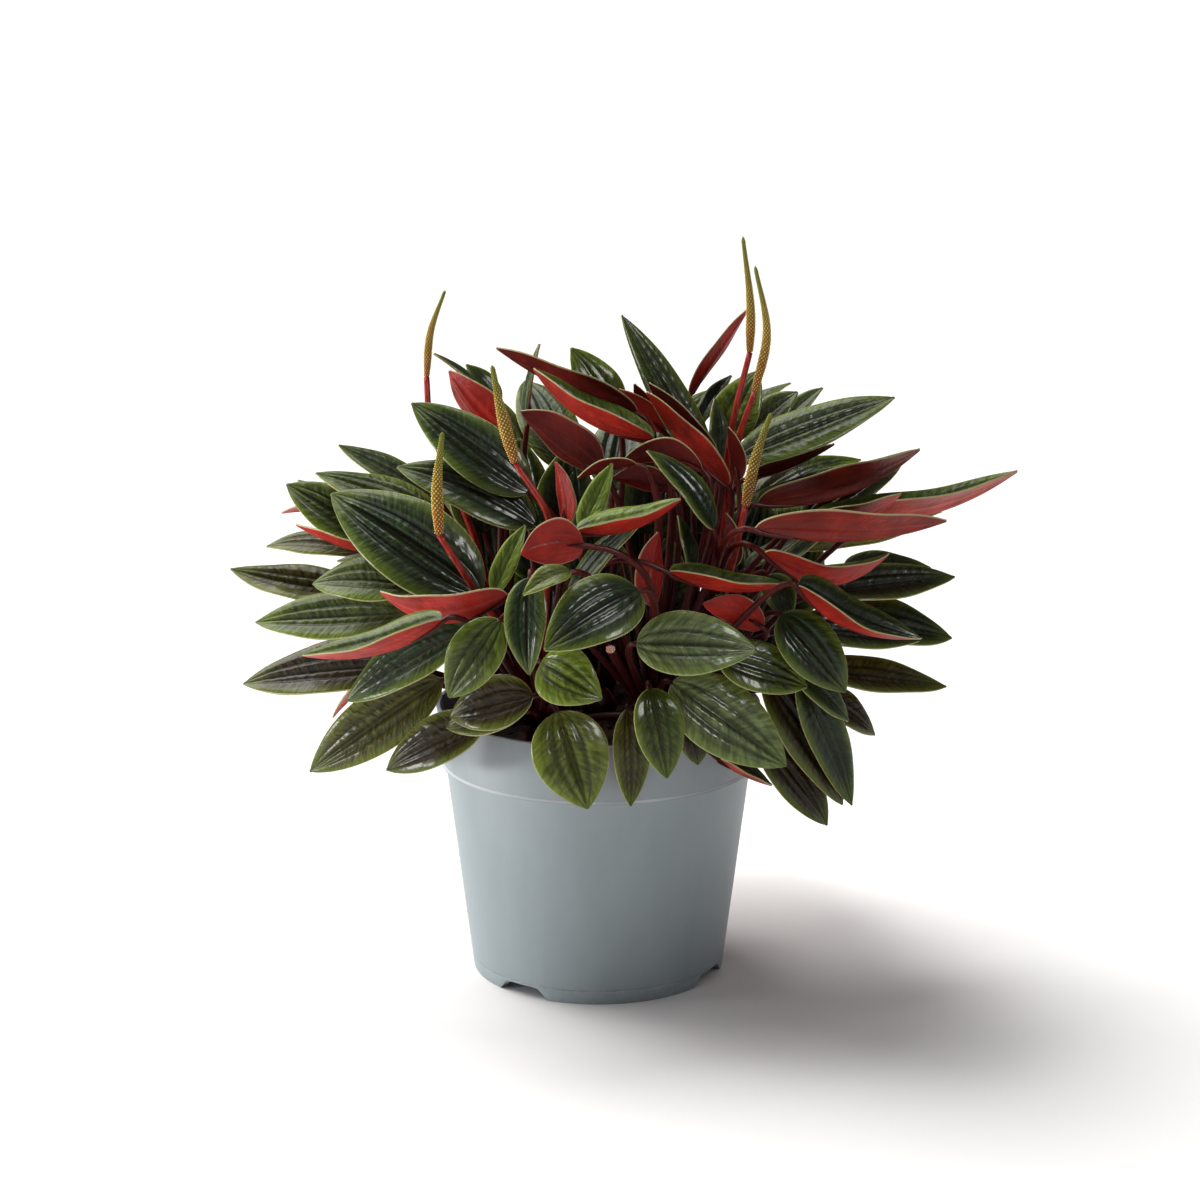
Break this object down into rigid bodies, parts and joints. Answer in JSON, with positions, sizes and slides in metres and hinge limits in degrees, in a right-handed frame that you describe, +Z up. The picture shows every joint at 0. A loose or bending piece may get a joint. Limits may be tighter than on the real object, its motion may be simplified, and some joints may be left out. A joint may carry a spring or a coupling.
{
  "type": "potted plant",
  "caption": "Clump-forming plant with narrow, ridged, red-backed leaves and upright flower spikes, standing in a tapered nursery pot with a banded rim.",
  "frame": {"origin": "on the floor under the centre of the pot's foot", "axes": "+Z up along the pot's axis; -Y toward the side the plant is shown from; +X to the right as seen from there"},
  "size_m": [0.2837, 0.2503, 0.274],
  "materials": {
    "pot": "matt grey-blue plastic",
    "mix": "rough dark potting mix",
    "leaf": "glossy dark green, red on the underside",
    "spike": "granular, ochre to yellow-green"
  },
  "bodies": {
    "root": {"pot": "pot", "potting_mix": "mix", "crown_front_left": "leaf", "crown_front_right": "leaf", "crown_left": "leaf", "crown_right": "leaf", "crown_middle": "leaf", "crown_middle_left": "leaf", "crown_middle_right": "leaf", "crown_rear_left": "leaf", "crown_rear_right": "leaf", "crown_rear_middle": "leaf", "flower_spike_1": "spike", "flower_spike_2": "spike", "flower_spike_3": "spike", "flower_spike_4": "spike", "flower_spike_5": "spike", "flower_spike_6": "spike"}
  },
  "joints": []
}
